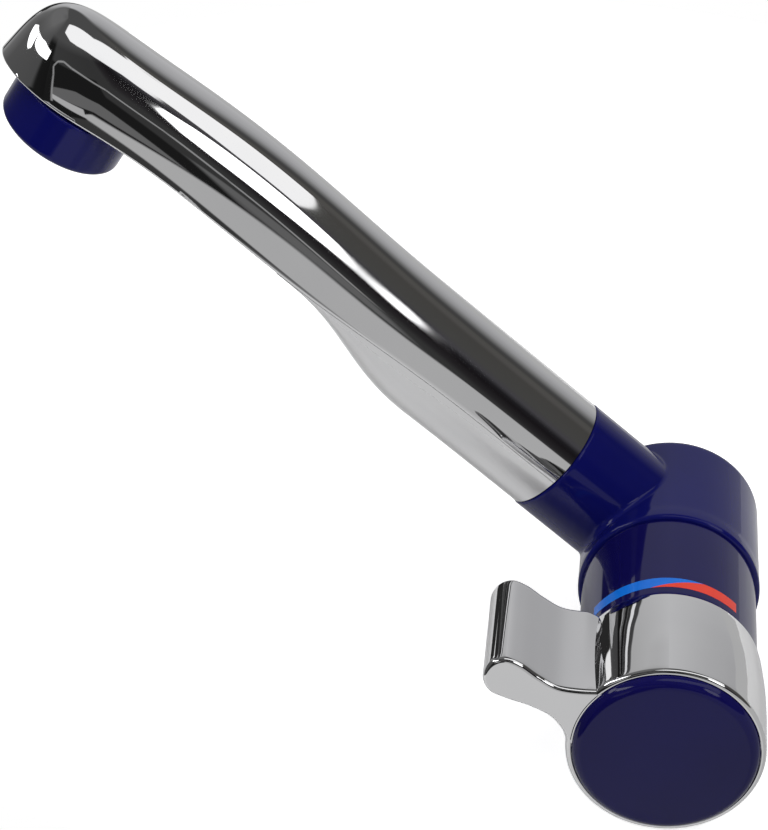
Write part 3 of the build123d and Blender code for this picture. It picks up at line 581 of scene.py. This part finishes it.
WIDTH, HEIGHT = 768, 830
FOCAL = 2937.8
CENTRE = (416.32, 444.61)
camera_data = bpy.data.cameras.new("camera")
camera_data.sensor_fit = "HORIZONTAL"
camera_data.sensor_width = 36.0
camera_data.lens = FOCAL / WIDTH * camera_data.sensor_width
camera_data.shift_x = -(CENTRE[0] - WIDTH / 2) / WIDTH
camera_data.shift_y = (CENTRE[1] - HEIGHT / 2) / WIDTH
camera_data.clip_start = 0.05
camera_data.clip_end = 20.0
camera = bpy.data.objects.new("camera", camera_data)
scene.collection.objects.link(camera)
right = Vector((0.99660984, 0.08227291, 0.0))
up = Vector((-0.04366862, 0.52903588, 0.84747512))
back = Vector((0.06972721, -0.8446018, 0.53083511))
turn = Matrix((right, up, back)).transposed().to_4x4()
camera.matrix_world = Matrix.Translation((-0.0134085, -0.654889, 0.4267718)) @ turn
scene.camera = camera

# Surroundings: a studio with a pale table, a dim room and window-like soft boxes

scene.view_settings.view_transform = "Standard"
world = bpy.data.worlds.new("studio")
scene.world = world
world.use_nodes = True
tree = world.node_tree
tree.nodes.clear()


def calc(tree, operation, *inputs, clamp=False):
    """Math node of a node tree, fed with sockets or numbers."""
    node = tree.nodes.new("ShaderNodeMath")
    node.operation = operation
    node.use_clamp = clamp
    for slot, value in zip(node.inputs, inputs):
        if isinstance(value, (int, float)):
            slot.default_value = value
        else:
            tree.links.new(value, slot)
    return node.outputs[0]


def panel(tree, x, y, corners, soft):
    """Share inside a convex outline of corners, with an edge as wide as soft."""
    total = None
    area = sum(p[0] * q[1] - q[0] * p[1] for p, q in zip(corners, corners[1:] + corners[:1]))
    if area < 0:
        corners = corners[::-1]
    for p, q in zip(corners, corners[1:] + corners[:1]):
        dx, dy = q[0] - p[0], q[1] - p[1]
        size = math.hypot(dx, dy)
        shift = (dy * p[0] - dx * p[1]) / size
        part = calc(tree, "MULTIPLY_ADD", x, -dy / size, shift)
        part = calc(tree, "MULTIPLY_ADD", y, dx / size, part)
        part = calc(tree, "MULTIPLY_ADD", part, 1 / soft, 0.5, clamp=True)
        total = part if total is None else calc(tree, "MULTIPLY", total, part)
    return total


def mixed(tree, share, below, above):
    """Blend of two colours, each a socket or three numbers."""
    node = tree.nodes.new("ShaderNodeMix")
    node.data_type = "RGBA"
    tree.links.new(share, node.inputs["Factor"])
    for slot, value in zip((node.inputs[6], node.inputs[7]), (below, above)):
        if isinstance(value, tuple):
            slot.default_value = (*value, 1)
        else:
            tree.links.new(value, slot)
    return node.outputs[2]


coords = tree.nodes.new("ShaderNodeTexCoord")
split = tree.nodes.new("ShaderNodeSeparateXYZ")
tree.links.new(coords.outputs["Generated"], split.inputs[0])
side_angle = calc(tree, "ARCTAN2", split.outputs[0], calc(tree, "MULTIPLY", split.outputs[1], -1.0))
side_angle = calc(tree, "MULTIPLY", side_angle, 180 / math.pi)
height = calc(tree, "MULTIPLY", calc(tree, "ARCSINE", split.outputs[2]), 180 / math.pi)
ROOM_LEVEL = 0.86  # strength of the world to all rays but the camera's own

# Room round the table, by side angle in degrees: 0 is towards the viewer, 90 to the right
room = tree.nodes.new("ShaderNodeValToRGB")
tree.links.new(calc(tree, "MULTIPLY_ADD", side_angle, 1 / 360, 0.5), room.inputs["Fac"])
STOPS = [
    (-180, (0.72, 0.72, 0.73)), (-150, (0.55, 0.55, 0.55)), (-128, (0.2, 0.2, 0.2)),
    (-104, (0.12, 0.12, 0.12)), (-50, (0.1, 0.1, 0.1)), (-46, (0.014, 0.014, 0.014)),
    (-35, (0.012, 0.012, 0.012)), (-31, (0.06, 0.06, 0.06)), (20, (0.05, 0.05, 0.05)),
    (31, (0.05, 0.05, 0.05)), (36, (0.028, 0.026, 0.028)), (46, (0.013, 0.011, 0.013)),
    (52, (0.02, 0.019, 0.022)), (60, (0.08, 0.077, 0.085)), (70, (0.085, 0.084, 0.08)),
    (98, (0.083, 0.08, 0.075)), (106, (0.115, 0.11, 0.105)), (112, (0.11, 0.108, 0.1)),
    (117, (0.075, 0.073, 0.072)), (122, (0.09, 0.09, 0.09)), (130, (0.28, 0.28, 0.28)),
    (136, (0.43, 0.43, 0.44)), (145, (0.55, 0.55, 0.56)), (165, (0.66, 0.66, 0.67)),
    (180, (0.72, 0.72, 0.73)),
]
while len(room.color_ramp.elements) < len(STOPS):
    room.color_ramp.elements.new(0.5)
for element, (angle, colour) in zip(room.color_ramp.elements, STOPS):
    element.position = angle / 360 + 0.5
    element.color = (*colour, 1)
sky = room.outputs["Color"]
ceiling = calc(tree, "MULTIPLY_ADD", height, 1 / 8, -45 / 8, clamp=True)
sky = mixed(tree, ceiling, sky, (0.1, 0.1, 0.1))

# Panels in the room, each over those before it: corners as (side angle, height) in degrees, the
# width of the soft edge in degrees, and the brightness
PANELS = [
    ([(-181, 46), (-60, 46), (-30, 90), (-181, 90)], 24.0, 0.2),
    ([(-36, -14), (20, -14), (20, 30), (-34, 33)], 1.5, 0.015),
    ([(-3, -90), (181, -90), (181, 4), (27, 5), (-3, -8.3)], 1.2, 0.6),
    ([(-181, -90), (-141, -90), (-141, 4), (-181, 4)], 1.5, 0.61),
    ([(-141, -90), (-3, -90), (-3, -27), (-141, -27)], 1.5, 0.9),
    ([(-30, -90), (20, -90), (20, -27), (-30, -27)], 6.0, 0.8),
    ([(-176, -8), (-141, -8), (-141, 27), (-154, 27), (-160, 20), (-176, 16)], 2.0, 0.03),
    ([(-145.8, 10.5), (-144, 8), (-142, 7.5), (-142, 12), (-144.5, 13.5)], 0.6, 1.2),
    ([(-42, 29.5), (-39, 38), (-57, 41), (-83, 38.5), (-74, 32), (-60, 31.5)], 0.8, 4.5),
    ([(-78, 29.5), (-85, 38), (-101, 35.5), (-110, 29), (-104, 27.5), (-82, 27.5)], 0.8, 4.5),
]
for corners, soft, strength in PANELS:
    sky = mixed(tree, panel(tree, side_angle, height, corners, soft), sky, (strength,) * 3)
light_path = tree.nodes.new("ShaderNodeLightPath")
camera_ray = light_path.outputs["Is Camera Ray"]
sky = mixed(tree, camera_ray, sky, (1.0, 1.0, 1.0))
shade = tree.nodes.new("ShaderNodeBackground")
level = calc(tree, "MULTIPLY_ADD", camera_ray, 1 - ROOM_LEVEL, ROOM_LEVEL)
tree.links.new(level, shade.inputs["Strength"])
tree.links.new(sky, shade.inputs["Color"])
world_out = tree.nodes.new("ShaderNodeOutputWorld")
tree.links.new(shade.outputs[0], world_out.inputs[0])


def lamp(name, spot, aim, size, glow, mirrored):
    """Rectangular soft box of a given brightness, mirrored by the object or not."""
    data = bpy.data.lights.new(name, "AREA")
    data.shape = "RECTANGLE"
    data.size, data.size_y = size
    data.energy = glow * math.pi * size[0] * size[1]
    thing = bpy.data.objects.new(name, data)
    thing.location = spot
    thing.rotation_euler = (Vector(aim) - Vector(spot)).to_track_quat("-Z", "Y").to_euler()
    thing.visible_glossy = mirrored
    thing.visible_camera = False
    scene.collection.objects.link(thing)
    return thing


def window(name, spot, turn, size, panes):
    """Large lamp that shines only through panes, given as outlines in metres on its own plane."""
    thing = lamp(name, spot, (spot[0], spot[1], spot[2] - 1), size, 1.0, True)
    thing.rotation_euler = turn
    data = thing.data
    data.use_nodes = True
    nodes = data.node_tree
    glow = [n for n in nodes.nodes if n.type == "EMISSION"][0]
    where = nodes.nodes.new("ShaderNodeNewGeometry")
    parts = nodes.nodes.new("ShaderNodeSeparateXYZ")
    nodes.links.new(where.outputs["Parametric"], parts.inputs[0])
    x = calc(nodes, "MULTIPLY_ADD", parts.outputs[0], size[0], -size[0] / 2)
    y = calc(nodes, "MULTIPLY_ADD", parts.outputs[1], size[1], -size[1] / 2)
    total = 0.0
    for corners, soft, strength in panes:
        pane = calc(nodes, "MULTIPLY", panel(nodes, x, y, corners, soft), strength)
        total = calc(nodes, "MAXIMUM", pane, total)
    nodes.links.new(total, glow.inputs["Strength"])


def shifted(corners, x, y):
    """Corners measured from another point."""
    return [(p[0] - x, p[1] - y) for p in corners]


AIM = (-0.05, 0, 0.05)
lamp("key", (0.5, -0.7, 1.5), AIM, (1.2, 0.9), 4.0, False)
lamp("fill", (-1.1, -0.9, 0.9), AIM, (1.0, 1.0), 1.5, False)

# Windows high above, as convex panes in metres on a level plane: the far one in three, and the
# near and brighter one in two
FAR_HEAD = [
    (-0.36, -0.7), (-0.17, -0.95), (0.1, -1.0), (0.63, -0.95), (1.18, -0.78), (1.18, -0.17),
    (0.72, -0.2), (-0.12, -0.33),
]
FAR_CORNER = [(0.66, -0.25), (1.18, -0.3), (1.18, 0.25)]
FAR_ARM = [(1.16, -0.76), (1.45, -0.86), (1.8, -1.06), (1.99, -1.2), (1.99, 0.5), (1.16, 0.36)]
NEAR_TOP = [
    (1.22, -1.08), (1.35, -1.0), (1.5, -1.03), (2.0, -1.23), (2.24, -1.38), (2.31, -1.65),
    (1.285, -1.65), (1.225, -1.38),
]
NEAR_LOW = [
    (1.275, -1.6), (2.3, -1.6), (2.425, -2.15), (2.525, -2.65), (2.48, -2.86), (2.3, -2.9),
    (2.1, -2.78), (1.78, -2.5), (1.45, -2.05),
]
MIDDLE = (1.0, -1.2)
window("ceiling_windows", (*MIDDLE, 1.5), (0, 0, 0), (3.1, 3.5), [
    (shifted(corners, *MIDDLE), 0.02, strength)
    for corners, strength in (
        (FAR_HEAD, 1.12), (FAR_CORNER, 1.12), (FAR_ARM, 1.12), (NEAR_TOP, 2.5), (NEAR_LOW, 2.5))])


def strip(start, end, width):
    """Outline of a straight strip between two points."""
    way = np.array(end) - np.array(start)
    side = np.array((-way[1], way[0])) * width / 2 / np.linalg.norm(way)
    return [tuple(p) for p in (start - side, end - side, end + side, start + side)]


# Pale edges and sheets in front of the dark room, in metres (sideways, up) on an upright plane
EDGES = [
    (-0.455, 0.12), (-0.455, 0.4), (-0.475, 0.5), (-0.41, 0.555), (-0.31, 0.56), (-0.2, 0.505),
    (0.12, 0.41), (0.17, 0.36), (0.19, 0.27), (0.25, 0.2),
]
PALE = [
    ([(-0.45, 0.15), (-0.45, 0.2), (-0.172, 0.1), (-0.172, 0.0)], 0.01, 0.5),
    ([(-0.45, 0.27), (-0.45, 0.19), (-0.1, 0.095), (0.0, 0.1), (-0.02, 0.2), (-0.2, 0.27)],
     0.01, 0.14),
    ([(0.07, 0.12), (0.2, 0.125), (0.24, 0.19), (0.1, 0.23)], 0.02, 0.1),
]
PALE += [(strip(p, q, 0.024), 0.01, 0.3) for p, q in zip(EDGES, EDGES[1:])]
window("front_edges", (0.0, -0.6, 0.3), (math.pi / 2, 0, 0), (1.2, 0.8), [
    (shifted(corners, 0.0, 0.3), soft, strength) for corners, soft, strength in PALE])

# Table: white to the camera; mirrors see it glow a little, more towards the back, which is painted
# light

floor_mesh = bpy.data.meshes.new("floor")
bm = bmesh.new()
bmesh.ops.create_circle(bm, cap_ends=True, segments=96, radius=0.26)
bm.to_mesh(floor_mesh)
bm.free()
floor = bpy.data.objects.new("floor", floor_mesh)
floor.location = (-0.06, 0.135, -0.028)
scene.collection.objects.link(floor)
table, table_shader = material("pale_table")
grain = noise(table, 40.0)
link(table, two_colours(table, grain.outputs["Fac"], (0.8, 0.8, 0.8), (0.82, 0.82, 0.82)),
     table_shader.inputs["Base Color"])
table_shader.inputs["Roughness"].default_value = 0.9
spots = add(table, "ShaderNodeTexCoord")
spot_parts = add(table, "ShaderNodeSeparateXYZ")
link(table, spots.outputs["Object"], spot_parts.inputs[0])
# Painted light: a glow seen only by mirrors and glass, rising from the front of the table to its
# back
painted_glow_range = {"From Min": -0.2, "From Max": 0.1, "To Min": 0.0, "To Max": 0.2}
painted_glow_to_back = add(table, "ShaderNodeMapRange", **painted_glow_range)
link(table, spot_parts.outputs[1], painted_glow_to_back.inputs["Value"])
paths = add(table, "ShaderNodeLightPath").outputs
floor_tree = table.node_tree
glossy, through_glass = paths["Is Glossy Ray"], paths["Is Transmission Ray"]
mirrored = calc(floor_tree, "ADD", glossy, through_glass, clamp=True)
mirrored = calc(floor_tree, "MULTIPLY", mirrored, painted_glow_to_back.outputs["Result"])
seen = calc(floor_tree, "MULTIPLY_ADD", paths["Is Camera Ray"], 0.75, mirrored)
glow = add(table, "ShaderNodeEmission")
link(table, seen, glow.inputs["Strength"])
both = add(table, "ShaderNodeAddShader")
link(table, table_shader.outputs[0], both.inputs[0])
link(table, glow.outputs[0], both.inputs[1])
output = [n for n in table.node_tree.nodes if n.type == "OUTPUT_MATERIAL"][0]
link(table, both.outputs[0], output.inputs["Surface"])
floor.data.materials.append(table)
